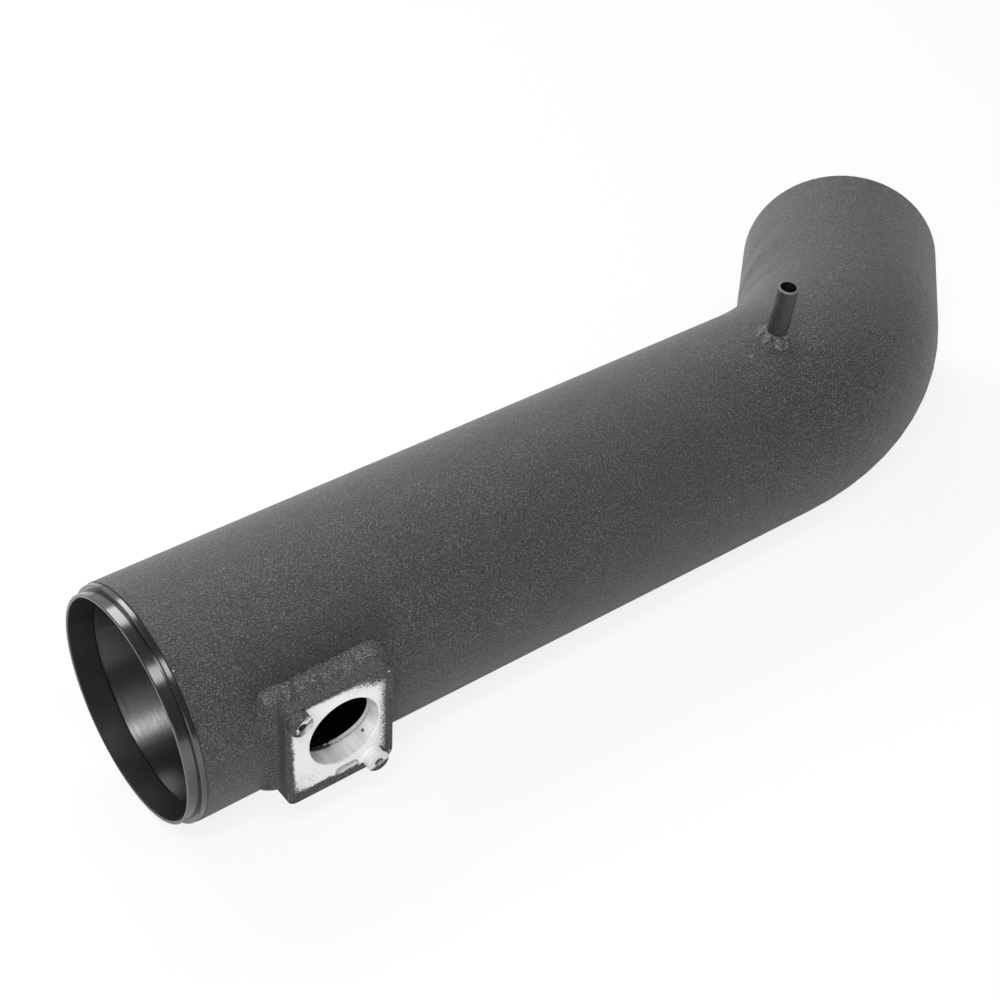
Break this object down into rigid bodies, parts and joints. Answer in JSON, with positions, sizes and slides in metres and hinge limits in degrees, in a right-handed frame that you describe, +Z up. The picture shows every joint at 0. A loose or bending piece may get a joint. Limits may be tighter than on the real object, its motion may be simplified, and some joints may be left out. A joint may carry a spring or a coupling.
{
  "type": "cold air intake pipe",
  "caption": "Metal intake pipe with a textured dark coat, a gentle bend at one end, a machined sensor flange welded to its side and a small hose nipple.",
  "frame": {"origin": "centre of the open mouth, on the front edge of the inlet ring", "axes": "+X runs from the inlet down the straight part of the tube, +Y is the side the tube bends to, +Z is up as the pipe lies on its side on a floor"},
  "size_m": [0.4432, 0.159, 0.1128],
  "materials": {
    "textured_coat": "fine wrinkle powder coat over aluminium",
    "gloss_black": "gloss black over turned aluminium",
    "machined_metal": "bare milled face with coat round its edges",
    "nipple_coat": "smooth dark coat"
  },
  "bodies": {
    "root": {"main_tube": "textured_coat", "inlet_ring": "gloss_black", "sensor_flange": "machined_metal", "flange_weld": "textured_coat", "hose_nipple": "nipple_coat", "nipple_weld": "textured_coat"}
  },
  "joints": []
}
